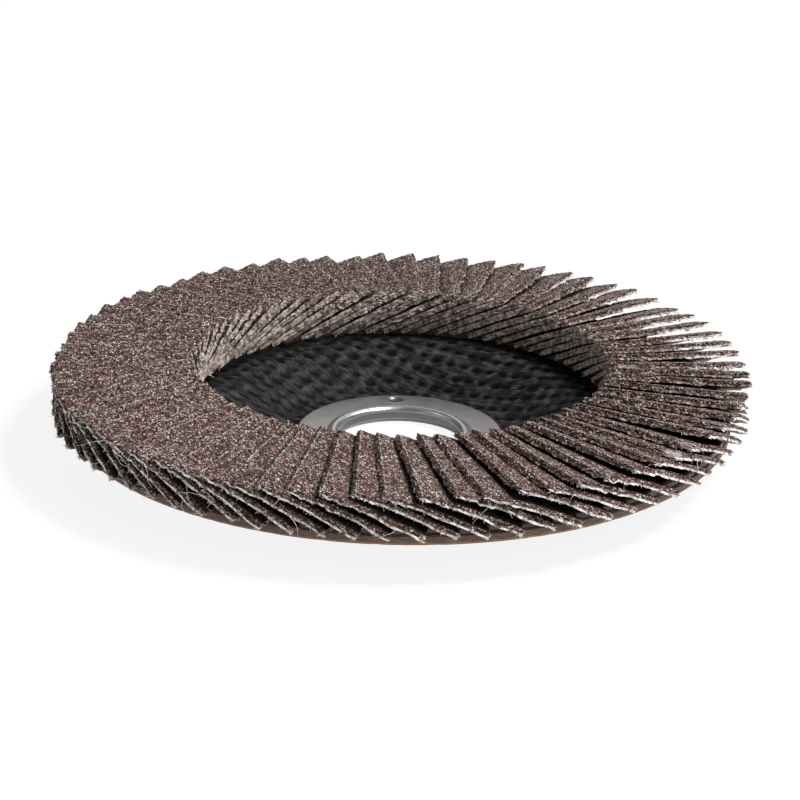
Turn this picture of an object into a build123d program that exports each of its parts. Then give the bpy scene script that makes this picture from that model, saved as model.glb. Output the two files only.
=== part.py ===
"""Flap disc for an angle grinder, 125 mm across with a 22.23 mm bore.

Overlapping flaps of coated abrasive cloth fan around a dished backing plate of
glass-fibre laminate. Their roots stand in a bed of adhesive, and a pressed steel
ring lines the bore.

Frame: origin on the bore axis at the back of the hub, +Z towards the abrasive side.
"""

import os
from math import asin, cos, degrees, hypot, radians, sin, sqrt, tan

from build123d import *

# ---- Driving dimensions, in millimetres ----

# Whole disc
disc_diameter = 125.0
bore_diameter = 22.23

# Abrasive flaps
flap_count = 72
flap_thickness = 1.0
flap_width = 19.0  # from the free edge down to the root edge
flap_length = 25.8  # along the radius
root_offset = 9.8  # from the flap's radial line to its root edge
inner_gap = 0.38  # air between neighbouring flaps at their inner ends
outer_gap = 1.2  # the same at the rim
flaps_per_node = 2

# Backing plate, pressed from one thickness of laminate
plate_thickness = 2.0
flap_overhang = 3.0  # flaps stand out past the plate by this
hub_diameter = 43.0  # flat middle of the plate
dish_depth = 5.9
dish_bend_radius = 7.0
shoulder_margin = 3.9  # from the adhesive in to where the well side starts
plate_edge_round = 0.4

# Centre ring, pressed from sheet steel
ring_diameter = 37.2
ring_sheet = 0.6
ring_edge_round = 0.25
bead_height = 0.45  # rounded lip that stands above the flange around the bore
bead_width = 2.0
bead_round = 0.42
crimp_flare = 0.8  # how far the neck spreads outward at the back
ring_clearance = 0.05  # between the ring's neck and the plate
pip_diameter = 3.2  # small round dimple punched in the flange
pip_depth = 0.45
pip_circle_radius = 16.3
pip_angle = 93.0  # degrees around the disc

# Adhesive bed around the flap roots
bed_height = 1.1
bed_inner_web = 0.5  # adhesive inside the flaps' inner ends
bed_edge_margin = 0.4  # plate left bare outside the bed
root_gap = 0.15  # adhesive under a root edge

# ---- Values worked out from those above ----

disc_radius = disc_diameter / 2
bore_radius = bore_diameter / 2
neck_radius = bore_radius + ring_sheet
ring_radius = ring_diameter / 2

plate_top = dish_depth + plate_thickness
flange_top = plate_thickness + ring_sheet
bead_top = flange_top + bead_height
root_height = plate_top + root_gap

# A flap leans until it clears its neighbour by the gap at each end
flap_pitch = 360 / flap_count
pitch_sine = sin(radians(flap_pitch))
outer_slope = degrees(asin((flap_thickness + outer_gap) / (disc_radius * pitch_sine)))
root_reach = root_offset + flap_thickness * sin(radians(outer_slope))
flap_outer = sqrt(disc_radius**2 - root_reach**2)
flap_inner = flap_outer - flap_length
inner_slope = degrees(asin((flap_thickness + inner_gap) / (flap_inner * pitch_sine)))

plate_radius = disc_radius - flap_overhang
bed_inner_radius = hypot(flap_inner, root_offset) - bed_inner_web
bed_outer_radius = plate_radius - bed_edge_margin
shoulder_radius = bed_inner_radius - shoulder_margin

# The neck's outside starts to flare here, so that the sheet keeps its thickness
crimp_reach = crimp_flare + ring_sheet * tan(radians(45 / 2))


def flap_end(radius, slope, angle):
    """Plane of a flap's end: origin at the root's lower corner, X up along the flap."""
    turn = radians(angle)
    outward = Vector(cos(turn), sin(turn), 0)
    sideways = Vector(-sin(turn), cos(turn), 0)
    up = Vector(0, 0, 1)
    corner = outward * radius + sideways * root_offset + up * root_height
    along = up * sin(radians(slope)) - sideways * cos(radians(slope))
    return Plane(origin=corner, x_dir=along, z_dir=outward)


def make_flaps(first):
    """The neighbouring flaps of one node. Each leans a little more at its inner end."""
    ends = ((flap_inner, inner_slope), (flap_outer, outer_slope))
    with BuildPart() as flaps:
        for index in range(first, min(first + flaps_per_node, flap_count)):
            for radius, slope in ends:
                with BuildSketch(flap_end(radius, slope, index * flap_pitch)):
                    Rectangle(flap_width, flap_thickness, align=(Align.MIN, Align.MAX))
            loft(ruled=True)
    return flaps.part


def make_adhesive_bed(all_flaps):
    """Flat ring of adhesive on the plate's outer band, with a slot for each flap root."""
    with BuildPart() as bed:
        with BuildSketch(Plane.XY.offset(plate_top)):
            Circle(bed_outer_radius)
            Circle(bed_inner_radius, mode=Mode.SUBTRACT)
        extrude(amount=bed_height)
        add(all_flaps, mode=Mode.SUBTRACT)
    return bed.part


def make_backing_plate():
    """Dished plate: flat hub, sloping well side and flat outer band."""
    with BuildPart() as plate:
        with BuildSketch(Plane.XZ) as profile:
            with BuildLine():
                FilletPolyline(
                    (neck_radius + ring_clearance, 0),
                    (hub_diameter / 2, 0),
                    (shoulder_radius, dish_depth),
                    (plate_radius, dish_depth),
                    radius=dish_bend_radius,
                )
                offset(amount=plate_thickness, side=Side.LEFT, mode=Mode.ADD)
            make_face()
            bore_corners = profile.vertices().group_by(Axis.X)[0]
            chamfer(bore_corners.sort_by(Axis.Y)[0], crimp_reach - ring_clearance)
            fillet(profile.vertices().group_by(Axis.X)[-1], plate_edge_round)
        revolve(axis=Axis.Z)
    return plate.part


def make_centre_ring():
    """Pressed ring: flat flange, rounded bead around the bore, neck flared at the back."""
    corners = (
        # (radius, height, rounding)
        (bore_radius + crimp_flare, 0, 0),
        (bore_radius, crimp_flare, 0),
        (bore_radius, bead_top, bead_round),
        (bore_radius + bead_width / 2, bead_top, bead_round),
        (bore_radius + bead_width, flange_top, bead_round),
        (ring_radius, flange_top, ring_edge_round),
        (ring_radius, plate_thickness, 0),
        (neck_radius, plate_thickness, 0),
        (neck_radius, crimp_reach, 0),
        (neck_radius + crimp_reach, 0, 0),
    )
    pip_ball = (pip_diameter**2 / 4 + pip_depth**2) / (2 * pip_depth)
    pip_turn = radians(pip_angle)
    pip_x = pip_circle_radius * cos(pip_turn)
    pip_y = pip_circle_radius * sin(pip_turn)
    with BuildPart() as ring:
        with BuildSketch(Plane.XZ):
            with BuildLine():
                FilletPolyline(
                    *[(radius, height) for radius, height, rounding in corners],
                    radius=[rounding for radius, height, rounding in corners],
                    close=True,
                )
            make_face()
        revolve(axis=Axis.Z)
        with Locations((pip_x, pip_y, flange_top + pip_ball - pip_depth)):
            Sphere(pip_ball, mode=Mode.SUBTRACT)
    return ring.part


def save(name, piece):
    """Label a finished piece and write its STEP file."""
    piece.label = name
    export_step(piece, f"parts/{name}.step")


os.makedirs("parts", exist_ok=True)

flap_groups = [make_flaps(first) for first in range(0, flap_count, flaps_per_node)]
for number, group in enumerate(flap_groups, start=1):
    save(f"flap_pair_{number:02d}", group)

save("adhesive_bed", make_adhesive_bed(flap_groups))
save("backing_plate", make_backing_plate())
save("centre_ring", make_centre_ring())
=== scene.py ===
"""Looks for the flap disc: ragged abrasive flaps, woven laminate plate, pressed steel ring."""

from math import asin, cos, pi, radians, sin, sqrt, tan

import bpy
import numpy as np
from mathutils import Matrix, Vector


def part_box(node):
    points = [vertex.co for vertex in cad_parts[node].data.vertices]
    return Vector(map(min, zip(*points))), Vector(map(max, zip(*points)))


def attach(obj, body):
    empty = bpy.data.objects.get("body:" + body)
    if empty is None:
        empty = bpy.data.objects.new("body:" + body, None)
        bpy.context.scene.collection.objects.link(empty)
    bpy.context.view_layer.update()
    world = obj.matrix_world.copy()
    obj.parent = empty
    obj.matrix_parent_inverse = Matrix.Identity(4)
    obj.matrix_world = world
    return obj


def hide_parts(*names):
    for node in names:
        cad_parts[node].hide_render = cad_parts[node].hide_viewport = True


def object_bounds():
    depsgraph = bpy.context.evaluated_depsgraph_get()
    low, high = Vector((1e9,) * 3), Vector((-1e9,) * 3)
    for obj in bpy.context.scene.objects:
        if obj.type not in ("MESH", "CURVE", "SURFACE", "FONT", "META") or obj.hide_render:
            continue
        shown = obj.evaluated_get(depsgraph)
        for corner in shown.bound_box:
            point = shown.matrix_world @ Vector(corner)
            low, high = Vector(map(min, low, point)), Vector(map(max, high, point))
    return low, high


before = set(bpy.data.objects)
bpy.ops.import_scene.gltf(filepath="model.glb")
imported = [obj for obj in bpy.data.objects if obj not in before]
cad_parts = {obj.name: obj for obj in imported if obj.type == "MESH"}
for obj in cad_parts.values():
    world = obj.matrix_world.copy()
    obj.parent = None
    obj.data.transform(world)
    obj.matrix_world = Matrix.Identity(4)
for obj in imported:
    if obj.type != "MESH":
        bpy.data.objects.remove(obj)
cad_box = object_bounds()

MM = 0.001
SEED = 20
rng = np.random.default_rng(SEED)

# ---- Sizes in millimetres: from the frame where it has them ----

DISC_RADIUS = (cad_box[1].x - cad_box[0].x) / 2 / MM
PLATE_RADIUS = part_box("backing_plate")[1].x / MM
PLATE_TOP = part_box("backing_plate")[1].z / MM
RING_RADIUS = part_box("centre_ring")[1].x / MM
RING_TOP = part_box("centre_ring")[1].z / MM
BED_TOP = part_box("adhesive_bed")[1].z / MM
BED_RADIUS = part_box("adhesive_bed")[1].x / MM
ROOT_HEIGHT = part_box("flap_pair_01")[0].z / MM

# Flaps, as the part's source has them
FLAP_COUNT = 72
FLAPS_PER_PIECE = 2
FLAP_THICKNESS = 1.0
FLAP_WIDTH = 19.0
FLAP_LENGTH = 25.8
ROOT_OFFSET = 9.8
INNER_GAP = 0.38
OUTER_GAP = 1.2

# Plate and ring, as the part's source has them
PLATE_THICKNESS = 2.0
HUB_RADIUS = 21.5
DISH_BEND_RADIUS = 7.0
SHOULDER_RADIUS = 32.8
BORE_RADIUS = 11.115
WEAVE_ANGLE = radians(-30)
RING_SHEET = 0.6
CRIMP_FLARE = 0.8
DISH_DEPTH = PLATE_TOP - PLATE_THICKNESS
BORE_EDGE = BORE_RADIUS + RING_SHEET  # of the plate, against the ring's neck
FLANGE_TOP = PLATE_THICKNESS + RING_SHEET

FLAP_PITCH = 360 / FLAP_COUNT
PITCH_SINE = sin(radians(FLAP_PITCH))
HALF_PITCH_SINE = sin(radians(FLAP_PITCH) / 2)
OUTER_SLOPE = asin((FLAP_THICKNESS + OUTER_GAP) / (DISC_RADIUS * PITCH_SINE))
ROOT_REACH = ROOT_OFFSET + FLAP_THICKNESS * sin(OUTER_SLOPE)
FLAP_OUTER = sqrt(DISC_RADIUS**2 - ROOT_REACH**2)
FLAP_INNER = FLAP_OUTER - FLAP_LENGTH
INNER_SLOPE = asin((FLAP_THICKNESS + INNER_GAP) / (FLAP_INNER * PITCH_SINE))


# ---- Camera ----

CAMERA_PLACE = Vector((0, -540.3, 215.2)) * MM
CAMERA_AIM = Vector((0, 0, 8.7)) * MM
CAMERA_ROLL = radians(1.18)
FOCAL_PIXELS = 3207
IMAGE_PIXELS = 800
SENSOR_MM = 36
CLIP_METRES = (0.01, 50)


def make_camera():
    """Long lens, low over the disc, turned a little about its own axis."""
    data = bpy.data.cameras.new("camera")
    data.sensor_width = SENSOR_MM
    data.lens = FOCAL_PIXELS / IMAGE_PIXELS * SENSOR_MM
    data.clip_start, data.clip_end = CLIP_METRES
    camera = bpy.data.objects.new("camera", data)
    bpy.context.scene.collection.objects.link(camera)
    facing = (CAMERA_AIM - CAMERA_PLACE).to_track_quat("-Z", "Y").to_matrix().to_4x4()
    roll = Matrix.Rotation(CAMERA_ROLL, 4, "Z")
    camera.matrix_world = Matrix.Translation(CAMERA_PLACE) @ facing @ roll
    bpy.context.scene.camera = camera


# ---- Material helpers ----


def new_material(name):
    """An empty node material: (material, its tree, its Principled shader)."""
    material = bpy.data.materials.new(name)
    material.use_nodes = True
    tree = material.node_tree
    tree.nodes.clear()
    output = tree.nodes.new("ShaderNodeOutputMaterial")
    shader = tree.nodes.new("ShaderNodeBsdfPrincipled")
    tree.links.new(shader.outputs[0], output.inputs[0])
    return material, tree, shader


def object_coordinates(tree, scale=1.0, turn=0.0):
    """Object coordinates in millimetres, turned about Z, then times this scale on each axis."""
    coordinates = tree.nodes.new("ShaderNodeTexCoord")
    turned_about_z = tree.nodes.new("ShaderNodeMapping")
    turned_about_z.inputs["Rotation"].default_value = (0, 0, turn)
    tree.links.new(coordinates.outputs["Object"], turned_about_z.inputs[0])
    mapping = tree.nodes.new("ShaderNodeMapping")
    scales = scale if hasattr(scale, "__len__") else (scale,) * 3
    mapping.inputs["Scale"].default_value = [s / MM for s in scales]
    tree.links.new(turned_about_z.outputs[0], mapping.inputs[0])
    return mapping.outputs[0]


def noise(tree, where, scale, detail=3.0, roughness=0.5):
    """A noise texture's value, with this many features to a millimetre."""
    node = tree.nodes.new("ShaderNodeTexNoise")
    node.inputs["Scale"].default_value = scale
    node.inputs["Detail"].default_value = detail
    node.inputs["Roughness"].default_value = roughness
    tree.links.new(where, node.inputs["Vector"])
    return node.outputs[0]


def voronoi(tree, where, scale):
    """A Voronoi texture node, with this many cells to a millimetre."""
    node = tree.nodes.new("ShaderNodeTexVoronoi")
    node.inputs["Scale"].default_value = scale
    tree.links.new(where, node.inputs["Vector"])
    return node


def ramp(tree, value, stops):
    """A colour ramp over a value: stops are (position, colour)."""
    node = tree.nodes.new("ShaderNodeValToRGB")
    elements = node.color_ramp.elements
    while len(elements) < len(stops):
        elements.new(0.5)
    for element, (position, colour) in zip(elements, stops):
        element.position = position
        element.color = (*colour, 1)
    tree.links.new(value, node.inputs[0])
    return node.outputs[0]


def mix(tree, factor, first, second, blend="MIX"):
    """Two colours mixed by a value or a number."""
    node = tree.nodes.new("ShaderNodeMix")
    node.data_type = "RGBA"
    node.blend_type = blend
    node.clamp_result = True
    for place, value in ((0, factor), (6, first), (7, second)):  # 6 and 7 take colours
        socket = node.inputs[place]
        if isinstance(value, bpy.types.NodeSocket):
            tree.links.new(value, socket)
        elif hasattr(value, "__len__"):
            socket.default_value = (*value, 1)
        else:
            socket.default_value = value
    return node.outputs[2]


def spread(tree, value, low, high, to_low=0.0, to_high=1.0):
    """A value remapped from one range to another, and held inside it."""
    node = tree.nodes.new("ShaderNodeMapRange")
    for index, number in enumerate((low, high, to_low, to_high), start=1):
        node.inputs[index].default_value = number
    tree.links.new(value, node.inputs[0])
    return node.outputs[0]


def maths(tree, operation, first, second):
    """One step of arithmetic on values or numbers."""
    node = tree.nodes.new("ShaderNodeMath")
    node.operation = operation
    for socket, value in zip(node.inputs, (first, second)):
        if isinstance(value, bpy.types.NodeSocket):
            tree.links.new(value, socket)
        else:
            socket.default_value = value
    return node.outputs[0]


def bump(tree, height, depth_mm, under=None):
    """Bump from a height of 0 to 1, this many millimetres deep."""
    node = tree.nodes.new("ShaderNodeBump")
    node.inputs["Distance"].default_value = depth_mm * MM
    tree.links.new(height, node.inputs["Height"])
    if under is not None:
        tree.links.new(under, node.inputs["Normal"])
    return node.outputs[0]


def attribute(tree, name):
    """A number that store_numbers keeps on a mesh's points."""
    node = tree.nodes.new("ShaderNodeAttribute")
    node.attribute_name = name
    return node.outputs["Fac"]


# ---- Materials ----

GRAINS_PER_MM = 2.7
CHIPS_PER_MM = 5.2
GRAIN_DEPTH = 0.42
CHIP_DEPTH = 0.06
PAINTED_SHADE_STRENGTH = 0.92
SHADE_BETWEEN_GRAINS = (0.026, 0.012, 0.009)
SHADE_ON_LOW_GRIT = (0.014, 0.009, 0.007)
SHADE_UNDER_NEXT_FLAP = (0.010, 0.006, 0.005)
BARE_COTTON = (0.62, 0.57, 0.53)
FRAYED_COTTON = (0.80, 0.77, 0.74)
PAINTED_PIT_SHADE = (0.001, 0.001, 0.001)
SCORCHED_RESIN = (0.50, 0.24, 0.10)
SCORCH_HEIGHTS = (0.25, 0.60)  # above the rim's lower edge: full below one, gone at the other
NECK_SHADE_GREY = (0.10, 0.10, 0.10)
NECK_SHADE_DARKNESS = 0.92
CRIMP_SHADE_SHARE = 0.6  # share of the neck's painted shade that is left at its crimped end


def grit_material():
    """Coarse brown abrasive: packed grains, with painted shade between them and on the low ones,
    and painted glints on a few bright facets. It is painted near black as shade where the next
    flap covers it and along its free edge, and bare cotton where it is frayed or worn, which
    beside the free edge is also a painted highlight."""
    material, tree, shader = new_material("abrasive_grit")
    where = object_coordinates(tree)
    grains = voronoi(tree, where, GRAINS_PER_MM)
    chips = voronoi(tree, where, CHIPS_PER_MM)
    tone = tree.nodes.new("ShaderNodeSeparateColor")
    tree.links.new(grains.outputs["Color"], tone.inputs[0])
    # Grain tones; the white top stops are painted glints on a few bright facets
    grain_colour_and_glints = ramp(tree, tone.outputs[0], (
        (0.00, (0.045, 0.020, 0.015)),
        (0.22, (0.152, 0.073, 0.057)),
        (0.50, (0.330, 0.200, 0.168)),
        (0.78, (0.530, 0.370, 0.328)),
        (0.90, (0.790, 0.665, 0.615)),
        (1.00, (1.000, 0.965, 0.940)),
    ))
    chip_tone = tree.nodes.new("ShaderNodeSeparateColor")
    tree.links.new(chips.outputs["Color"], chip_tone.inputs[0])
    # Chips vary the tone, and the stops above 1 brighten a few into painted glints
    chip_tone_and_glints = ramp(tree, chip_tone.outputs[1], (
        (0.00, (0.30, 0.27, 0.26)),
        (0.40, (0.85, 0.82, 0.81)),
        (0.80, (1.35, 1.33, 1.32)),
        (1.00, (3.00, 3.00, 3.00)),
    ))
    colour = mix(tree, 1.0, grain_colour_and_glints, chip_tone_and_glints, "MULTIPLY")
    # Painted shade in the hollows between the grains
    shade_between_grains = spread(tree, grains.outputs["Distance"], 0.30, 0.62, to_high=0.80)
    colour = mix(tree, shade_between_grains, colour, SHADE_BETWEEN_GRAINS)
    # Painted shade on the grit points that stand low
    low_grit_shade = spread(tree, attribute(tree, "grit"), -1.0, -0.1, to_low=0.88, to_high=0.0)
    colour = mix(tree, low_grit_shade, colour, SHADE_ON_LOW_GRIT)
    # Painted shade: near black where the next flap covers this one, and a broken line along the
    # free edge
    painted_shade = maths(tree, "MULTIPLY", attribute(tree, "painted_shade"), PAINTED_SHADE_STRENGTH)
    colour = mix(tree, painted_shade, colour, SHADE_UNDER_NEXT_FLAP)
    frayed = maths(tree, "SUBTRACT", attribute(tree, "fray"), noise(tree, where, 0.9))
    colour = mix(tree, spread(tree, frayed, 0.0, 0.2, to_high=0.85), colour, BARE_COTTON)
    tree.links.new(colour, shader.inputs["Base Color"])
    dullness = spread(tree, tone.outputs[2], 0.0, 1.0, to_low=0.25, to_high=0.80)
    tree.links.new(dullness, shader.inputs["Roughness"])
    shader.inputs["Specular IOR Level"].default_value = 0.22
    rise = maths(tree, "SUBTRACT", 1.0, grains.outputs["Distance"])
    fine = bump(tree, chip_tone.outputs[0], CHIP_DEPTH)
    tree.links.new(bump(tree, rise, GRAIN_DEPTH, under=fine), shader.inputs["Normal"])
    return material


# The darkest, middle and lightest tone of each cut or bare side of the cloth. The sides differ
# # partly as painted light and shade: the outer ends are painted lighter, the inner ends and the
# # free edge darker.
LIT_AND_SHADED_CLOTH_TONES = {
    "cotton_outer_ends": ((0.17, 0.12, 0.10), (0.72, 0.67, 0.63), (1.0, 1.0, 0.98)),
    "cotton_inner_ends": ((0.11, 0.081, 0.068), (0.27, 0.213, 0.184), (0.52, 0.438, 0.390)),
    "cotton_free_edge": ((0.065, 0.043, 0.035), (0.185, 0.128, 0.108), (0.46, 0.38, 0.34)),
    "cotton_underside": ((0.12, 0.085, 0.065), (0.17, 0.12, 0.095), (0.24, 0.18, 0.15)),
}


def cloth_material(name, dark, middle, light):
    """Cut cotton backing in three tones of lumps, paler where it is frayed."""
    material, tree, shader = new_material(name)
    where = object_coordinates(tree)
    lumps = noise(tree, where, 1.1, detail=4.0, roughness=0.65)
    colour = ramp(tree, lumps, ((0.41, dark), (0.49, middle), (0.59, light)))
    frayed = spread(tree, maths(tree, "SUBTRACT", attribute(tree, "fray"), lumps), -0.1, 0.15)
    colour = mix(tree, frayed, colour, FRAYED_COTTON)
    tree.links.new(colour, shader.inputs["Base Color"])
    shader.inputs["Roughness"].default_value = 0.9
    tree.links.new(bump(tree, noise(tree, where, 3.5), depth_mm=0.12), shader.inputs["Normal"])
    return material


def fibre_material():
    """Pale cotton fibres."""
    material, tree, shader = new_material("cotton_fibre")
    where = object_coordinates(tree)
    colour = ramp(tree, noise(tree, where, 1.2), (
        (0.35, (0.66, 0.62, 0.58)),
        (0.65, (0.95, 0.94, 0.92)),
    ))
    tree.links.new(colour, shader.inputs["Base Color"])
    shader.inputs["Roughness"].default_value = 0.8
    return material


def laminate_material():
    """Dark resin over glass cloth: grey strands whose lightness is partly a painted sheen, and
    painted shade, near black, in the pits between them and below the flaps' inner ends.
    """
    material, tree, shader = new_material("glass_fibre_laminate")
    blotches = noise(tree, object_coordinates(tree), 0.5, detail=4.0)
    fine_threads = object_coordinates(tree, (0.35, 2.2, 1.0), turn=-WEAVE_ANGLE)
    threads = noise(tree, fine_threads, 1.0, detail=4.0, roughness=0.6)
    both = maths(tree, "MULTIPLY", maths(tree, "ADD", blotches, threads), 0.5)
    # Grey strands: the glass under the resin, lightened into a painted sheen along their streaks
    strands = ramp(tree, both, (
        (0.38, (0.004, 0.004, 0.004)),
        (0.50, (0.016, 0.016, 0.016)),
        (0.62, (0.054, 0.053, 0.054)),
    ))
    # Painted shade: the pits near black, and the plate below the flaps' inner ends
    colour = mix(tree, attribute(tree, "pit"), strands, PAINTED_PIT_SHADE)
    tree.links.new(colour, shader.inputs["Base Color"])
    shader.inputs["Specular IOR Level"].default_value = 0.12
    dullness = spread(tree, threads, 0.3, 0.7, to_low=0.40, to_high=0.62)
    tree.links.new(dullness, shader.inputs["Roughness"])
    tree.links.new(bump(tree, threads, depth_mm=0.10), shader.inputs["Normal"])
    return material


def laminate_edge_material():
    """The plate's cut edge: brown resin in layers, with an orange scorch along its foot."""
    material, tree, shader = new_material("laminate_cut_edge")
    layers = noise(tree, object_coordinates(tree, (0.6, 0.6, 6.0)), 1.0, detail=3.0)
    colour = ramp(tree, layers, (
        (0.30, (0.060, 0.036, 0.026)),
        (0.52, (0.140, 0.086, 0.060)),
        (0.72, (0.255, 0.160, 0.110)),
    ))
    height = tree.nodes.new("ShaderNodeSeparateXYZ")
    tree.links.new(object_coordinates(tree), height.inputs[0])
    scorch_full, scorch_end = (DISH_DEPTH + above for above in SCORCH_HEIGHTS)
    scorched = spread(tree, height.outputs[2], scorch_full, scorch_end, to_low=0.85, to_high=0.0)
    colour = mix(tree, scorched, colour, SCORCHED_RESIN)
    tree.links.new(colour, shader.inputs["Base Color"])
    shader.inputs["Roughness"].default_value = 0.55
    tree.links.new(bump(tree, layers, depth_mm=0.08), shader.inputs["Normal"])
    return material


def adhesive_material():
    """Dark brown cured resin, smooth and a little glossy."""
    material, tree, shader = new_material("cured_adhesive")
    where = object_coordinates(tree)
    colour = ramp(tree, noise(tree, where, 0.5, detail=4.0), (
        (0.30, (0.030, 0.021, 0.017)),
        (0.70, (0.090, 0.064, 0.052)),
    ))
    tree.links.new(colour, shader.inputs["Base Color"])
    shader.inputs["Roughness"].default_value = 0.40
    tree.links.new(bump(tree, noise(tree, where, 1.4), depth_mm=0.12), shader.inputs["Normal"])
    return material


def steel_material():
    """Satin zinc-plated steel with fine marks and faint stains, and a painted dark reflection and
    shade down inside the neck.
    """
    material, tree, shader = new_material("plated_steel")
    where = object_coordinates(tree)
    stains = noise(tree, where, 0.35, detail=5.0, roughness=0.6)
    colour = ramp(tree, stains, (
        (0.25, (0.60, 0.59, 0.58)),
        (0.75, (0.74, 0.73, 0.72)),
    ))
    height = tree.nodes.new("ShaderNodeSeparateXYZ")
    tree.links.new(where, height.inputs[0])
    below_bead = spread(
        tree, height.outputs[2], PLATE_THICKNESS, RING_TOP - 0.2, to_low=NECK_SHADE_DARKNESS, to_high=0.0,
    )
    above_crimp = spread(
        tree, height.outputs[2], CRIMP_FLARE - 0.3, CRIMP_FLARE + 0.3, to_low=CRIMP_SHADE_SHARE,
    )
    shade_inside_neck = maths(tree, "MULTIPLY", below_bead, above_crimp)
    # Painted shade and dark reflection down inside the neck, lighter again at the crimp
    colour = mix(tree, shade_inside_neck, colour, NECK_SHADE_GREY)
    tree.links.new(colour, shader.inputs["Base Color"])
    shader.inputs["Metallic"].default_value = 1.0
    dullness = spread(tree, stains, 0.3, 0.7, to_low=0.34, to_high=0.40)
    tree.links.new(dullness, shader.inputs["Roughness"])
    marks = noise(tree, where, 9.0, detail=2.0)
    tree.links.new(bump(tree, marks, depth_mm=0.005), shader.inputs["Normal"])
    return material


# ---- Mesh helpers ----


def make_mesh_object(name, points, faces, materials, face_materials=None, smooth=True):
    """A mesh object from points in millimetres."""
    mesh = bpy.data.meshes.new(name)
    mesh.from_pydata((np.asarray(points) * MM).tolist(), [], faces)
    for material in materials:
        mesh.materials.append(material)
    if face_materials is not None:
        mesh.polygons.foreach_set("material_index", np.asarray(face_materials, dtype=np.int32))
    mesh.polygons.foreach_set("use_smooth", np.full(len(mesh.polygons), smooth))
    mesh.update()
    piece = bpy.data.objects.new(name, mesh)
    bpy.context.scene.collection.objects.link(piece)
    return piece


def store_numbers(piece, name, numbers):
    """Keep one number for each point of a piece, for its material to read."""
    layer = piece.data.attributes.new(name, "FLOAT", "POINT")
    layer.data.foreach_set("value", np.asarray(numbers, dtype=np.float32))


def smoothstep(low, high, value):
    """0 below low, 1 above high, and a smooth rise between."""
    t = np.clip((value - low) / (high - low), 0, 1)
    return t * t * (3 - 2 * t)


WAVES_SUMMED = 6


def wavy(x, y, wavelength, seed):
    """Smooth random waves over a plane, about -1 to 1."""
    waves = np.random.default_rng(seed)
    total = np.zeros_like(x)
    for _ in range(WAVES_SUMMED):
        turn, phase = waves.uniform(0, 2 * pi, 2)
        length = wavelength * waves.uniform(0.7, 1.6)
        total += np.sin(2 * pi * (x * cos(turn) + y * sin(turn)) / length + phase)
    return total / (WAVES_SUMMED / 2)


# ---- Flaps ----

HIDDEN_ROWS = 8  # cells over the covered part, from the root up
SHOWN_ROWS = 24  # finer cells over the part left bare, up to the free edge
BARE_FROM = 0.56  # where the bare part starts, as a share of the width
ACROSS = HIDDEN_ROWS + SHOWN_ROWS
ALONG = 70  # cells along the radius
SIDE_ROWS = (0.0, 0.20, 0.40, 0.60, 1.0)  # depths down a flap's cut side
CELL_JITTER = 0.3  # how far inner points are shifted at random, in cells
GRIT_ROUGHNESS = 0.12
GRIT_DEVIATION = 0.5  # of the grit's standing, in roughnesses, held inside the limit
GRIT_LIMIT = 1.2
GRIT_LEVEL = 1.0  # mean height of the grit, in flap thicknesses
EDGE_RAGGEDNESS = 0.15
EDGE_GRIT = 0.6  # added to the grit's standing along the cut edges
EDGE_SLACK = 0.06  # how far the grit's cut side wanders up and down, in flap thicknesses
EDGE_SINK = 0.03  # how far the rim of the grit lies below its mean height, likewise
RIM_ROUNDING = 0.12  # how far a flap's upper rim is drawn back
CLOTH_RAGGEDNESS = 0.09
CLOTH_LUMPS = 0.09  # how far the cut cloth bulges here and there
INNER_LUMPS = 0.5  # share of that at the inner end
LUMP_SHAPE = (0.4, 0.8, 0.8, 0.4)  # spreads a lump over neighbouring points
INNER_SAG = 0.11  # how far the cloth hangs into the gap below, at the inner end
INNER_DROOP = 0.45  # how much a flap flattens towards its free edge, at its two ends
OUTER_DROOP = 0.68
DROOP_POWER = 5
INNER_EDGE_DROP = 0.22  # how far the free edge has sunk at its two ends
OUTER_EDGE_DROP = 0.68
THIN_TIP = 0.5  # how much of the thickness is worn off below, at the outer free corner
WORN_CORNER = 0.7  # how far back the inner end is worn at its free edge

# Painted shade, painted highlight and wear: strengths from 0 to 1, and places as shares of the
# width or length
LINE_WANDER = 0.010  # deviation of the line to which the next flap covers a flap
SHADE_FADE = 0.075  # the painted shade under the next flap fades out over this, above that line
SHADE_ENDS = (0.966, 0.998)  # and towards the outer end between these
EDGE_ROW = 0.995  # the top's points past this are on the free edge
EDGE_SHADE_LINE = 0.95  # darkness of the painted shade line along the free edge
EDGE_SHADE_BREAKS = -0.008  # the line is broken where the wander is below this
EDGE_WEAR_AND_HIGHLIGHT = 0.66  # the worn strip beside the free edge, bare cotton that is also a painted highlight where the edge catches the light, and the share of it on the edge itself
WEAR_AND_HIGHLIGHT_ON_LINE = 0.3
FOOT_WEAR = 0.62

# Where each kind of wear starts and is full, across the width and along the length; the worn strip
# is also a painted highlight
THIN_ACROSS, THIN_ALONG = (0.88, 1.0), (0.85, 1.0)
FOOT_ACROSS, FOOT_ALONG = (0.10, 0.0), (0.93, 1.0)
CHIP_ACROSS, CHIP_ALONG = (0.75, 0.92), (0.82, 0.95)
WORN_AND_LIT_ACROSS = (0.945, 0.985)
STREAK_ALONG, STREAK_DEPTHS = (0.40, 0.65), (0.2, 0.4)

# How frayed and chipped the flaps are, by their number round the disc
USUAL_FRAY = 0.25  # of a flap with no place in FRAYED_EDGES
USUAL_CHIP = 0.3  # of a flap with no place in CHIPPED_CORNERS
FRAYED_EDGES = {
    2: 0.55, 3: 0.60, 4: 0.62, 5: 0.70, 6: 0.66, 7: 0.78, 8: 0.70, 9: 0.74, 10: 0.60, 11: 0.64,
    13: 0.58,
}
CHIPPED_CORNERS = {65: 0.72, 66: 0.60, 68: 0.52}

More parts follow.
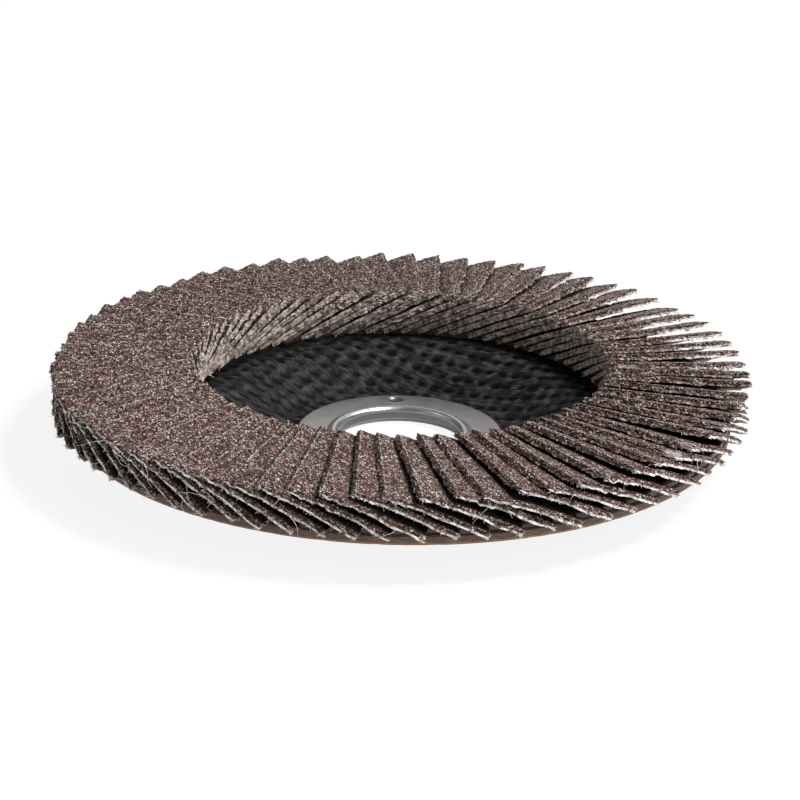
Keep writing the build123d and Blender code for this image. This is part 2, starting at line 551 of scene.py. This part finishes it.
# Fibres: how many stand out of each edge, and their sizes
FIBRES = {"outer end": 115, "free edge": 14, "inner end": 26, "foot": 26}
CHIP_FIBRES = 45  # at the corner, for a chip of 1
FIBRE_HEADINGS = {
    "outer end": (1, 0, -0.1), "free edge": (0, -1, -0.1), "inner end": (-1, 0, -0.1),
    "foot": (1, -0.2, -0.1), "corner": (0.8, -0.5, -0.1),
}
FIBRE_RADIUS = 0.055
FIBRE_TAPER = 0.65
FIBRE_SHORTEST = 0.14
FIBRE_LONGEST = 1.5
FIBRE_MEAN_EXTRA = 0.16
FIBRE_ROOT = 0.08  # length inside the cloth
FIBRE_SCATTER = 0.55
FIBRE_BEND = 0.25
CLOTH_TOP = 0.26  # fibres start below this, in flap thicknesses
TUFTS = 7  # fibres are drawn together in this many tufts on an edge
TUFT_PULL = 0.02

# Long loose threads, and how many hang from each flap
LOOSE_THREADS = {42: 1, 44: 2, 46: 2, 47: 3, 48: 1, 50: 2, 53: 1, 57: 1, 66: 1, 68: 1}
THREAD_LENGTH = 5.5
THREAD_STEPS = 9
THREAD_ROOT = 0.1  # length inside the cloth
THREAD_HEADING = (0.8, 0.3, 0.2)
THREAD_CURL = 0.35
THREAD_FALL = (-0.12, 0, -0.3)

# How flaps differ: mean, deviation and limits of some values, the limits alone of others
SPREAD_ABOUT_MEAN = {
    "curl": (0, 0.15, -0.3, 0.3),
    "turn": (0, 0.22, -0.45, 0.45),
    "reach": (0.25, 0.25, -0.35, 0.7),
    "inner_lift": (0, 0.004, -0.008, 0.008),
    "outer_lift": (0, 0.010, -0.020, 0.020),
}
SPREAD_EVENLY = {"bow": (-0.08, 0.08), "wave": (0, 0.07), "phase": (0, 2 * pi)}

# Where each row and column of a flap's grid lies, as shares of its width and length
ACROSS_STEPS = np.concatenate((
    np.linspace(0, BARE_FROM, HIDDEN_ROWS, endpoint=False),
    np.linspace(BARE_FROM, 1, SHOWN_ROWS + 1),
))
ALONG_STEPS = np.linspace(0, 1, ALONG + 1)


def flap_edge_loop():
    """Grid indices round a flap's border, in order: (across, along) pairs."""
    loop = [(i, 0) for i in range(ACROSS)]
    loop += [(ACROSS, j) for j in range(ALONG)]
    loop += [(i, ALONG) for i in range(ACROSS, 0, -1)]
    loop += [(0, j) for j in range(ALONG, 0, -1)]
    return np.array(loop)


EDGE_LOOP = flap_edge_loop()
GRID_POINTS = (ACROSS + 1) * (ALONG + 1)

# Material places of a flap piece
TOP, OUTER_END, INNER_END, FREE_EDGE, UNDER, FIBRE = range(6)

# For each step of the edge loop: its cloth, and the side row from which the cloth shows
EDGE_KINDS = (
    [(INNER_END, 0)] * ACROSS + [(FREE_EDGE, 3)] * ALONG
    + [(OUTER_END, 3)] * ACROSS + [(FREE_EDGE, 3)] * ALONG
)


def grid_index(i, j):
    """Place of a grid point in a flap's list of points."""
    return i * (ALONG + 1) + j


def flap_faces():
    """Faces of one flap and the material place of each: top grid, cut sides, underside."""
    faces, kinds = [], []
    for i in range(ACROSS):
        for j in range(ALONG):
            corners = (
                grid_index(i + 1, j), grid_index(i + 1, j + 1),
                grid_index(i, j + 1), grid_index(i, j),
            )
            faces.append(corners)
            kinds.append(TOP)
    count = len(EDGE_LOOP)
    rings = [[grid_index(i, j) for i, j in EDGE_LOOP]]
    for row in range(1, len(SIDE_ROWS)):
        start = GRID_POINTS + (row - 1) * count
        rings.append(list(range(start, start + count)))
    for row in range(len(rings) - 1):
        upper, lower = rings[row], rings[row + 1]
        for k in range(count):
            after = (k + 1) % count
            faces.append((upper[k], upper[after], lower[after], lower[k]))
            kind, cloth_row = EDGE_KINDS[k]
            kinds.append(TOP if row < cloth_row else kind)
    place = {tuple(pair): index for pair, index in zip(EDGE_LOOP.tolist(), rings[-1])}
    for i in range(ACROSS):
        near = range(ALONG + 1) if i == 0 else (0, ALONG)
        far = range(ALONG, -1, -1) if i == ACROSS - 1 else (ALONG, 0)
        faces.append(tuple([place[i, j] for j in near] + [place[i + 1, j] for j in far]))
        kinds.append(UNDER)
    return faces, kinds


FLAP_FACES, FLAP_KINDS = flap_faces()


def flap_sheet(u, v, w, shape):
    """Points of a flap: u up from the root (0 to 1), v outward (0 to 1), w up through it (0 to 1).
    They are radial, sideways and height, in millimetres."""
    ends = []
    for radius, slope in ((FLAP_INNER, INNER_SLOPE + shape["inner_lift"]),
                          (FLAP_OUTER, OUTER_SLOPE + shape["outer_lift"])):
        side = ROOT_OFFSET - u * FLAP_WIDTH * cos(slope) + w * FLAP_THICKNESS * sin(slope)
        height = ROOT_HEIGHT + u * FLAP_WIDTH * sin(slope) + w * FLAP_THICKNESS * cos(slope)
        ends.append((np.full_like(u, radius), side, height))
    inner, outer = ends
    radial, side, height = (a + (b - a) * v for a, b in zip(inner, outer))
    radial = radial + shape["reach"] + WORN_CORNER * (1 - v) * u**2
    droop = INNER_DROOP + (OUTER_DROOP - INNER_DROOP) * v + shape["bow"]
    height = height + droop * (u - np.abs(u) ** DROOP_POWER)
    height = height - (INNER_EDGE_DROP + (OUTER_EDGE_DROP - INNER_EDGE_DROP) * v) * u**2
    height = height + shape["wave"] * u * np.sin(2 * pi * v + shape["phase"])
    height = height + shape["curl"] * u**2 * np.abs(v) ** 3
    return np.stack((radial, side, height), axis=-1)


def turned(points, angle):
    """Points turned about the bore axis by this angle in degrees."""
    c, s = cos(radians(angle)), sin(radians(angle))
    x, y = points[..., 0], points[..., 1]
    return np.stack((c * x - s * y, s * x + c * y, points[..., 2]), axis=-1)


def overlap_line(v):
    """How far up its width a flap is covered by the next one, at each place along it."""
    bare = [
        2 * radius * HALF_PITCH_SINE / (FLAP_WIDTH * cos(slope))
        for radius, slope in ((FLAP_INNER, INNER_SLOPE), (FLAP_OUTER, OUTER_SLOPE))
    ]
    return 1 - bare[0] - (bare[1] - bare[0]) * v


def flap_points(shape):
    """All points of one flap, unturned, and the numbers that its materials read at each: how
    high it stands in the grit (about -1 to 1), how dark its painted shade is under the next flap
    and on the line along the free edge (0 to 1), and how frayed or worn it is (0 to 1), the
    worn strip beside the free edge also being a painted highlight."""
    i, j = np.meshgrid(np.arange(ACROSS + 1), np.arange(ALONG + 1), indexing="ij")
    i, j = i.ravel(), j.ravel()
    inside = (i > 0) & (i < ACROSS) & (j > 0) & (j < ALONG)
    u_cell = np.gradient(ACROSS_STEPS)[i]
    u = ACROSS_STEPS[i] + rng.uniform(-CELL_JITTER, CELL_JITTER, GRID_POINTS) * u_cell * inside
    v = ALONG_STEPS[j] + rng.uniform(-CELL_JITTER, CELL_JITTER, GRID_POINTS) / ALONG * inside
    grit = np.clip(rng.normal(0, GRIT_DEVIATION, GRID_POINTS), -GRIT_LIMIT, GRIT_LIMIT)
    top = flap_sheet(u, v, GRIT_LEVEL + grit * GRIT_ROUGHNESS / FLAP_THICKNESS, shape)
    wander = rng.normal(0, LINE_WANDER, GRID_POINTS)
    above_line = u - overlap_line(v) + wander
    shade_start, shade_end = SHADE_ENDS
    # Painted shade on the top below the next flap's edge, fading out above it and towards the outer
    # end
    painted_shade = smoothstep(SHADE_FADE, 0.0, above_line) * smoothstep(shade_end, shade_start, v)
    on_edge = u > EDGE_ROW
    # and a painted shade line along the free edge itself
    painted_shade = np.maximum(painted_shade, EDGE_SHADE_LINE * (on_edge & (wander > EDGE_SHADE_BREAKS)))
    thin = THIN_TIP * smoothstep(*THIN_ACROSS, u) * smoothstep(*THIN_ALONG, v)
    foot = FOOT_WEAR * smoothstep(*FOOT_ACROSS, u) * smoothstep(*FOOT_ALONG, v)
    streak = shape["fray"] * smoothstep(*STREAK_ALONG, v)
    # Worn strip beside the free edge: real wear, and also a painted highlight along the lit edge
    worn_and_lit = EDGE_WEAR_AND_HIGHLIGHT * smoothstep(*WORN_AND_LIT_ACROSS, u) * np.where(on_edge, WEAR_AND_HIGHLIGHT_ON_LINE, 1.0)
    chip = shape["chip"] * smoothstep(*CHIP_ALONG, v) * smoothstep(*CHIP_ACROSS, u)
    fray = np.maximum(np.maximum(worn_and_lit, chip), foot)

    loop_i, loop_j = EDGE_LOOP[:, 0], EDGE_LOOP[:, 1]
    loop = grid_index(loop_i, loop_j)
    out_u = np.where(loop_i == ACROSS, 1.0, np.where(loop_i == 0, -1.0, 0.0))
    out_v = np.where(loop_j == ALONG, 1.0, np.where(loop_j == 0, -1.0, 0.0))
    rows, grits = [], []
    lump = np.convolve(rng.normal(0, 1, len(EDGE_LOOP)), LUMP_SHAPE, "same")
    bulge = CLOTH_LUMPS * lump * np.where(loop_j == 0, INNER_LUMPS, 1.0)
    for row, depth in enumerate(SIDE_ROWS):
        grit_row = row < np.array(EDGE_KINDS)[:, 1]
        raggedness = np.where(grit_row, EDGE_RAGGEDNESS, CLOTH_RAGGEDNESS)
        rough = rng.normal(0, 1, len(EDGE_LOOP)) * raggedness
        push = rough + (-RIM_ROUNDING if row == 0 else 0.0) + np.where(grit_row, 0, bulge)
        row_u = ACROSS_STEPS[loop_i] + out_u * push / FLAP_WIDTH
        row_v = ALONG_STEPS[loop_j] + out_v * push / FLAP_LENGTH
        w = (GRIT_LEVEL - EDGE_SINK) * (1 - depth * (1 - thin[loop]))
        w = w + rng.uniform(-EDGE_SLACK, EDGE_SLACK, len(EDGE_LOOP)) * grit_row
        w = w - np.where(grit_row, 0, np.maximum(bulge, 0))
        w = w - depth * INNER_SAG * ((loop_j == 0) & (loop_i > 0) & (loop_i < ACROSS))
        rows.append(flap_sheet(row_u, row_v, w, shape))
        grits.append(np.clip(rough / EDGE_RAGGEDNESS + EDGE_GRIT, -1, 1))
    top[loop] = rows[0]
    grit[loop] = grits[0]
    side_fray = np.maximum(chip, foot)[loop]
    edge_streak = streak[loop] * (loop_i == ACROSS)
    side = [np.maximum(side_fray, edge_streak * smoothstep(*STREAK_DEPTHS, depth))
            for depth in SIDE_ROWS[1:]]
    numbers = {
        "grit": np.concatenate([grit] + grits[1:]),
        "painted_shade": np.concatenate([painted_shade, np.zeros(len(loop) * len(side))]),
        "fray": np.concatenate([fray] + side),
    }
    return np.concatenate([top] + rows[1:]), numbers


TUBE_SIDES = 3
ASKEW = (0.3, 0.2, 1.0)  # a direction that no fibre keeps to, to turn the tubes by


def tube(path, radius):
    """Points and faces of a thin three-sided tube along a path, tapered to its tip."""
    path = np.array(path)
    last = len(path) - 1
    points, faces = [], []
    for step, centre in enumerate(path):
        way = path[min(step + 1, last)] - path[max(step - 1, 0)]
        across = np.cross(way, ASKEW)
        across /= np.linalg.norm(across)
        other = np.cross(way, across)
        other /= np.linalg.norm(other)
        size = radius * (1 - FIBRE_TAPER * step / last)
        for side in range(TUBE_SIDES):
            turn = 2 * pi * side / TUBE_SIDES
            points.append(centre + size * (across * cos(turn) + other * sin(turn)))
    for ring in range(0, TUBE_SIDES * last, TUBE_SIDES):
        for k in range(TUBE_SIDES):
            a, b = ring + k, ring + (k + 1) % TUBE_SIDES
            faces.append((a, b, b + TUBE_SIDES, a + TUBE_SIDES))
    tip = TUBE_SIDES * last
    faces += [(tip, tip + 1, tip + 2), (2, 1, 0)]
    return points, faces


def flap_fibres(shape):
    """Cotton fibres that stand out of a flap's cut edges, and its few long loose threads."""
    counts = {**FIBRES, "corner": int(CHIP_FIBRES * shape["chip"]), "thread": shape["threads"]}
    edges = [edge for edge, count in counts.items() for _ in range(count)]
    points, faces = [], []
    for edge in edges:
        s, t = rng.uniform(0, 1, 2)
        s = s + TUFT_PULL * sin(2 * pi * TUFTS * s + shape["phase"]) * (0.05 < s < 0.95)
        u, v = {
            "outer end": (s, 1.0),
            "free edge": (1.0, s),
            "inner end": (s, 0.0),
            "foot": (0.05 * s, 1.0),
            "corner": (1 - 0.25 * s * s, 1 - 0.2 * t * t),
            "thread": (0.15 + 0.7 * s, 1.0),
        }[edge]
        w = rng.uniform(0.0, CLOTH_TOP, 1)
        start = flap_sheet(np.array([u]), np.array([v]), w, shape)[0]
        if edge == "thread":
            way, turn = np.array(THREAD_HEADING), rng.normal(0, THREAD_CURL, 3)
            path = [start - way * THREAD_ROOT]
            for _ in range(THREAD_STEPS):
                path.append(path[-1] + way * THREAD_LENGTH / THREAD_STEPS)
                way = way + turn + rng.normal(0, THREAD_CURL, 3) + THREAD_FALL
                way /= np.linalg.norm(way)
        else:
            length = min(rng.exponential(FIBRE_MEAN_EXTRA) + FIBRE_SHORTEST, FIBRE_LONGEST)
            way = np.array(FIBRE_HEADINGS[edge]) + rng.normal(0, FIBRE_SCATTER, 3)
            way /= np.linalg.norm(way)
            bend = rng.normal(0, FIBRE_BEND, 3)
            path = [start + way * (length * step - FIBRE_ROOT) + bend * length * step**2
                    for step in (0, 0.5, 1)]
        strand, strand_faces = tube(path, FIBRE_RADIUS)
        base = len(points)
        points += strand
        faces += [tuple(base + c for c in face) for face in strand_faces]
    return np.array(points), faces


def flap_shape(index):
    """Small differences that each flap has from its neighbours."""
    shape = {
        "threads": LOOSE_THREADS.get(index, 0),
        "fray": FRAYED_EDGES.get(index, USUAL_FRAY),
        "chip": CHIPPED_CORNERS.get(index, USUAL_CHIP),
    }
    for key, (mean, deviation, low, high) in SPREAD_ABOUT_MEAN.items():
        shape[key] = float(np.clip(rng.normal(mean, deviation), low, high))
    for key, (low, high) in SPREAD_EVENLY.items():
        shape[key] = float(rng.uniform(low, high))
    return shape


def make_flaps(materials):
    """One piece for each pair of flaps, with their fibres and threads."""
    for first in range(0, FLAP_COUNT, FLAPS_PER_PIECE):
        points, faces, kinds = [], [], []
        numbers = {"grit": [], "painted_shade": [], "fray": []}
        for index in range(first, first + FLAPS_PER_PIECE):
            shape = flap_shape(index)
            angle = index * FLAP_PITCH + shape["turn"]
            flap, flap_numbers = flap_points(shape)
            strands, strand_faces = flap_fibres(shape)
            start = sum(len(p) for p in points)
            faces += [tuple(start + c for c in face) for face in FLAP_FACES]
            kinds += FLAP_KINDS
            start += len(flap)
            faces += [tuple(start + c for c in face) for face in strand_faces]
            kinds += [FIBRE] * len(strand_faces)
            points += [turned(flap, angle), turned(strands, angle)]
            for key, values in flap_numbers.items():
                numbers[key] += [values, np.zeros(len(strands))]
        number = first // FLAPS_PER_PIECE + 1
        name = f"abrasive_flaps_{number:02d}"
        points = np.concatenate(points)
        piece = make_mesh_object(name, points, faces, materials, kinds, smooth=False)
        for key, values in numbers.items():
            store_numbers(piece, key, np.concatenate(values))
        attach(piece, "root")
        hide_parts(f"flap_pair_{number:02d}")


# ---- Round pieces ----

CORNER_POINTS = 7


def bent_profile(corners, radii, step):
    """Points along a line of straight runs, with rounded corners of these radii, no further
    apart than the step."""
    points = [np.array(corners[0], float)]
    for before, corner, after, radius in zip(corners, corners[1:], corners[2:], radii):
        before, corner, after = (np.array(p, float) for p in (before, corner, after))
        back = (before - corner) / np.linalg.norm(before - corner)
        ahead = (after - corner) / np.linalg.norm(after - corner)
        half = np.arccos(np.clip(back @ ahead, -1, 1)) / 2
        reach = radius / tan(half)
        middle = corner + (back + ahead) / np.linalg.norm(back + ahead) * radius / sin(half)
        start, stop = corner + back * reach, corner + ahead * reach
        for t in np.linspace(0, 1, CORNER_POINTS):
            point = start + (stop - start) * t - middle
            points.append(middle + point / np.linalg.norm(point) * radius)
    points.append(np.array(corners[-1], float))
    fine = [points[0]]
    for start, stop in zip(points, points[1:]):
        count = max(1, int(np.ceil(np.linalg.norm(stop - start) / step)))
        fine += [start + (stop - start) * t for t in np.arange(1, count + 1) / count]
    return np.array(fine)


def lathe(profile, segments):
    """Points and faces of an open profile (radius, height) turned about the bore axis."""
    turns = np.arange(segments) * 2 * pi / segments
    radius, height = profile[:, 0][:, None], profile[:, 1][:, None]
    points = np.stack((
        radius * np.cos(turns), radius * np.sin(turns), height + 0 * turns,
    ), axis=-1).reshape(-1, 3)
    faces = []
    for row in range(len(profile) - 1):
        a, b = row * segments, (row + 1) * segments
        for k in range(segments):
            after = (k + 1) % segments
            faces.append((a + k, a + after, b + after, b + k))
    return points, faces


# ---- Backing plate ----

PLATE_SEGMENTS = 480
PLATE_BEVEL = 0.4
BEVEL_ROUND = 0.15
BORE_BEVEL = 1.0  # at the back, round the crimp
BORE_BEVEL_ROUND = 0.1
SEEN_STEP = 0.36  # between the profile's points where the weave is seen from above
HIDDEN_EVERY = 8  # under the flaps and the ring one of so many of those points is kept
EDGE_STEP = 0.3
BACK_STEP = 0.8
WEAVE_PITCH = 2.8
WEAVE_STRAY = 0.30  # how far strands stray sideways
STRAY_WAVELENGTH = 17
PIT_DEPTH = 0.20
PIT_FROM, PIT_TO = 0.50, 0.97  # a pit is deepest within the first distance and ends at the second
PIT_STRETCH = (0.70, 1.15)  # distances count for so much along and across the strands
PIT_SMALLNESS, PIT_VARIETY, PIT_WAVELENGTH = 1.08, 0.34, 5  # on average, how it varies, how fast
STRAND_WAVE = 0.22
RELIEF_FADES = 1.5  # the relief fades out over this towards the rim
BACK_SHIFT = (1.3, -0.8)  # of the weave at the back, so that the two sides differ
SHADE_UNDER_FLAPS = 0.8  # how dark the painted shade on the plate is below the flaps' inner ends


def weave(x, y):
    """Pressed open glass cloth over a plane: (height, how much of a pit each point is)."""
    stray_x, stray_y = (wavy(x, y, STRAY_WAVELENGTH, seed) for seed in (3, 4))
    x, y = x + WEAVE_STRAY * stray_x, y + WEAVE_STRAY * stray_y
    a = (x * cos(WEAVE_ANGLE) + y * sin(WEAVE_ANGLE)) / WEAVE_PITCH
    b = (y * cos(WEAVE_ANGLE) - x * sin(WEAVE_ANGLE)) / WEAVE_PITCH
    near_a = np.abs(a - np.round(a)) * WEAVE_PITCH
    near_b = np.abs(b - np.round(b)) * WEAVE_PITCH
    smallness = PIT_SMALLNESS + PIT_VARIETY * wavy(x, y, PIT_WAVELENGTH, seed=5)
    from_pit = np.hypot(near_a * PIT_STRETCH[0], near_b * PIT_STRETCH[1]) * smallness
    pit = 1 - smoothstep(PIT_FROM, PIT_TO, from_pit)
    strand = np.minimum(near_a, near_b) / WEAVE_PITCH
    over = np.where((np.floor(a) + np.floor(b)) % 2 > 0.5, near_a, near_b) / WEAVE_PITCH
    crown = STRAND_WAVE * (over + strand)
    return crown * (1 - pit) - PIT_DEPTH * pit, pit


def make_backing_plate(laminate, cut_edge):
    """Dished plate: woven relief on both faces, plain cut edge."""
    deflection = np.arctan2(DISH_DEPTH, SHOULDER_RADIUS - HUB_RADIUS)
    shift = PLATE_THICKNESS * tan(deflection / 2)
    flat_end = PLATE_RADIUS - PLATE_BEVEL
    top = bent_profile(
        ((BORE_EDGE, PLATE_THICKNESS), (HUB_RADIUS - shift, PLATE_THICKNESS),
         (SHOULDER_RADIUS - shift, PLATE_TOP), (flat_end, PLATE_TOP)),
        (DISH_BEND_RADIUS - PLATE_THICKNESS, DISH_BEND_RADIUS + PLATE_THICKNESS), SEEN_STEP,
    )
    seen = (top[:, 0] > RING_RADIUS - 0.7) & (top[:, 0] < FLAP_INNER + 2.5)
    hidden = ~seen & (np.arange(len(top)) % HIDDEN_EVERY == 0)
    ends = np.isin(np.arange(len(top)), (0, len(top) - 1))
    top = top[seen | hidden | ends]
    edge = bent_profile(
        ((flat_end, PLATE_TOP), (PLATE_RADIUS, PLATE_TOP - PLATE_BEVEL),
         (PLATE_RADIUS, DISH_DEPTH + PLATE_BEVEL), (flat_end, DISH_DEPTH)),
        (BEVEL_ROUND, BEVEL_ROUND), EDGE_STEP,
    )
    back = bent_profile(
        ((flat_end, DISH_DEPTH), (SHOULDER_RADIUS, DISH_DEPTH), (HUB_RADIUS, 0),
         (BORE_EDGE + BORE_BEVEL, 0), (BORE_EDGE, BORE_BEVEL)),
        (DISH_BEND_RADIUS, DISH_BEND_RADIUS, BORE_BEVEL_ROUND), BACK_STEP,
    )
    profile = np.concatenate((top, edge[1:-1], back))
    points, faces = lathe(profile, PLATE_SEGMENTS)
    x, y = points[:, 0], points[:, 1]
    rows = np.repeat(np.arange(len(profile)), PLATE_SEGMENTS)
    on_top = rows < len(top)
    on_back = rows >= len(top) + len(edge) - 2
    radius = np.hypot(x, y)
    relief, pit = weave(x, y)
    back_relief, back_pit = weave(x + BACK_SHIFT[0], y + BACK_SHIFT[1])
    rim_fade = smoothstep(PLATE_RADIUS, PLATE_RADIUS - RELIEF_FADES, radius)
    fade = smoothstep(RING_RADIUS - 0.6, RING_RADIUS + 0.2, radius) * rim_fade
    back_fade = smoothstep(BORE_EDGE + BORE_BEVEL, BORE_EDGE + 3.0, radius) * rim_fade
    points[:, 2] += np.where(on_top, relief * fade, 0)
    points[:, 2] -= np.where(on_back, np.minimum(back_relief, 0) * back_fade, 0)
    kinds = [0 if row < len(top) - 1 or row >= len(top) + len(edge) - 3 else 1
             for row in range(len(profile) - 1) for _ in range(PLATE_SEGMENTS)]
    faces = [face[::-1] for face in faces]
    piece = make_mesh_object("laminate_backing_plate", points, faces, (laminate, cut_edge), kinds)
    # Painted shade on the plate below the flaps' inner ends, carried with the pits
    in_shade = SHADE_UNDER_FLAPS * smoothstep(FLAP_INNER - 2.5, FLAP_INNER + 0.5, radius)
    top_pit_and_shade = np.maximum(pit * fade, in_shade)
    store_numbers(piece, "pit", np.where(on_top, top_pit_and_shade, back_pit * back_fade))
    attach(piece, "root")
    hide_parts("backing_plate")


# ---- Centre ring ----

RING_SEGMENTS = 360
RING_STEP = 0.30
NECK_SEAM = 1.5  # height at which the ring's profile starts and ends
BEAD_INNER = 1.0  # the bead's flat top and its slope end so far outside the bore
BEAD_OUTER = 2.0
PIP_RADIUS = 1.6
PIP_DEPTH = 0.45
PIP_CIRCLE = 16.3
PIP_ANGLE = radians(93)
PIP_FLAT = 0.52  # share of the pip's radius that is at full depth
PIP_LIP = 0.07
PIP_LIP_WIDTH = 0.30
FLANGE_WAVE = 0.02
FLANGE_WAVELENGTH = 9
# Of the ring's corners in turn, from the crimp at the back, up the bore and out to the rim
RING_ROUNDS = (0.2, 0.08, 0.12, 0.5, 0.80, 0.60, 0.8, 0.25, 0.08, 0.02)


def make_centre_ring(steel):
    """Pressed ring with a rounded bead, a punched pip and a crimped neck."""
    neck = BORE_EDGE  # the outside of the neck lies against the plate
    reach = CRIMP_FLARE + RING_SHEET * tan(pi / 8)
    corners = (
        (neck, NECK_SEAM), (neck, reach), (neck + reach, 0.0), (BORE_RADIUS + CRIMP_FLARE, 0.0),
        (BORE_RADIUS, CRIMP_FLARE), (BORE_RADIUS, RING_TOP), (BORE_RADIUS + BEAD_INNER, RING_TOP),
        (BORE_RADIUS + BEAD_OUTER, FLANGE_TOP), (RING_RADIUS, FLANGE_TOP),
        (RING_RADIUS, PLATE_THICKNESS), (neck, PLATE_THICKNESS), (neck, NECK_SEAM),
    )
    points, faces = lathe(bent_profile(corners, RING_ROUNDS, RING_STEP), RING_SEGMENTS)
    x, y = points[:, 0], points[:, 1]
    away = np.hypot(x - PIP_CIRCLE * cos(PIP_ANGLE), y - PIP_CIRCLE * sin(PIP_ANGLE))
    dent = PIP_DEPTH * (1 - smoothstep(PIP_FLAT, 1.0, away / PIP_RADIUS))
    lip = PIP_LIP * np.exp(-((away - PIP_RADIUS) / PIP_LIP_WIDTH) ** 2)
    upper = points[:, 2] > FLANGE_TOP - 0.05
    points[:, 2] += np.where(upper, lip - dent, 0)
    points[:, 2] += np.where(upper, FLANGE_WAVE * wavy(x, y, FLANGE_WAVELENGTH, seed=7), 0)
    piece = make_mesh_object("pressed_steel_ring", points, faces, (steel,))
    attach(piece, "root")
    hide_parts("centre_ring")


# ---- Adhesive ----

BED_SEGMENTS = 420
BED_STEP = 0.9
BED_SETBACK = 0.6  # from the flap feet's inner corners out to where the bed starts
BED_SINK = 0.1  # how far the bed's edges reach into the plate
BED_ROUNDS = (0.4, 0.5)  # of its inner and outer corners
BED_UNEVENNESS = 0.16
BED_UNEVEN_ABOVE = 0.2  # the height over the plate from which it is uneven
BED_SWELL = 0.003  # share by which the bed's radius varies


def make_adhesive_bed(adhesive):
    """Uneven bead of resin round the flap feet."""
    inner = sqrt(FLAP_INNER**2 + ROOT_OFFSET**2) + BED_SETBACK
    foot = PLATE_TOP - BED_SINK
    corners = ((inner, foot), (inner, BED_TOP), (BED_RADIUS, BED_TOP), (BED_RADIUS, foot))
    points, faces = lathe(bent_profile(corners, BED_ROUNDS, BED_STEP), BED_SEGMENTS)
    x, y = points[:, 0], points[:, 1]
    raised = points[:, 2] > PLATE_TOP + BED_UNEVEN_ABOVE
    points[:, 2] += np.where(raised, BED_UNEVENNESS * wavy(x, y, wavelength=6, seed=9), 0)
    swell = 1 + BED_SWELL * wavy(x, y, wavelength=8, seed=10)
    points[:, 0] *= swell
    points[:, 1] *= swell
    faces = [face[::-1] for face in faces]
    piece = make_mesh_object("resin_bed", points, faces, (adhesive,))
    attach(piece, "root")
    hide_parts("adhesive_bed")


# ---- Studio: metres and watts ----

FLOOR_HALF = 3.0
FLOOR_DROP = 0.0002
FLOOR_GLOW = 0.88  # share of glow, rather than lit surface, in what the camera sees
FLOOR_MIRRORED = 0.2  # how far the floor is the same to shiny surfaces
FLOOR_GREY = (0.80, 0.80, 0.80)
FLOOR_WHITE = (0.98, 0.98, 0.98)
SURROUND_STRENGTH = 0.10
DISC_CENTRE = Vector((0, 0, 0))

# Square softboxes: name, place, size and power
SOFTBOXES = (
    ("key", (0.77, -0.07, 1.18), 0.32, 23.2),
    ("front", (0.74, -0.88, 0.81), 0.5, 5.6),
    ("back", (0.0, 1.28, 0.60), 1.0, 3.0),
    ("left", (-1.20, -0.21, 0.70), 0.8, 2.4),
)


def make_floor():
    """Plain floor: white to the camera, with the disc's soft shadow, and greyer to the light."""
    material = bpy.data.materials.new("studio_floor")
    material.use_nodes = True
    tree = material.node_tree
    tree.nodes.clear()
    output = tree.nodes.new("ShaderNodeOutputMaterial")
    glow = tree.nodes.new("ShaderNodeEmission")
    glow.inputs["Color"].default_value = (1, 1, 1, 1)
    light_path = tree.nodes.new("ShaderNodeLightPath")
    glossy, through = (light_path.outputs[f"Is {kind} Ray"] for kind in ("Glossy", "Transmission"))
    mirrored = maths(tree, "MULTIPLY", maths(tree, "MAXIMUM", glossy, through), FLOOR_MIRRORED)
    seen = maths(tree, "MAXIMUM", light_path.outputs["Is Camera Ray"], mirrored)
    pale = tree.nodes.new("ShaderNodeBsdfDiffuse")
    tree.links.new(mix(tree, seen, FLOOR_GREY, FLOOR_WHITE), pale.inputs["Color"])
    share = maths(tree, "MULTIPLY", seen, FLOOR_GLOW)
    both = tree.nodes.new("ShaderNodeMixShader")
    tree.links.new(share, both.inputs[0])
    tree.links.new(pale.outputs[0], both.inputs[1])
    tree.links.new(glow.outputs[0], both.inputs[2])
    tree.links.new(both.outputs[0], output.inputs[0])
    mesh = bpy.data.meshes.new("studio_floor")
    corners = [(x * FLOOR_HALF, y * FLOOR_HALF, 0) for x, y in ((-1, -1), (1, -1), (1, 1), (-1, 1))]
    mesh.from_pydata(corners, [], [(0, 1, 2, 3)])
    mesh.materials.append(material)
    floor = bpy.data.objects.new("studio_floor", mesh)
    floor.location.z = -FLOOR_DROP
    bpy.context.scene.collection.objects.link(floor)


def make_softbox(name, place, size, power):
    """A square area light that faces the disc."""
    data = bpy.data.lights.new(name, "AREA")
    data.size = size
    data.energy = power
    light = bpy.data.objects.new(name, data)
    bpy.context.scene.collection.objects.link(light)
    place = Vector(place)
    facing = (DISC_CENTRE - place).to_track_quat("-Z", "Y").to_matrix().to_4x4()
    light.matrix_world = Matrix.Translation(place) @ facing


def make_studio():
    """Four softboxes, the strongest high on the right, and a faint even surround."""
    world = bpy.data.worlds.new("surround")
    world.use_nodes = True
    background = world.node_tree.nodes["Background"]
    background.inputs["Color"].default_value = (1, 1, 1, 1)
    background.inputs["Strength"].default_value = SURROUND_STRENGTH
    bpy.context.scene.world = world
    for softbox in SOFTBOXES:
        make_softbox(*softbox)


make_camera()
make_floor()
make_studio()

# In the order of the flaps' material places
make_flaps((
    grit_material(),
    *(cloth_material(name, *tones) for name, tones in LIT_AND_SHADED_CLOTH_TONES.items()),
    fibre_material(),
))
make_backing_plate(laminate_material(), laminate_edge_material())
make_centre_ring(steel_material())
make_adhesive_bed(adhesive_material())

scene = bpy.context.scene
scene.view_settings.view_transform = "Standard"
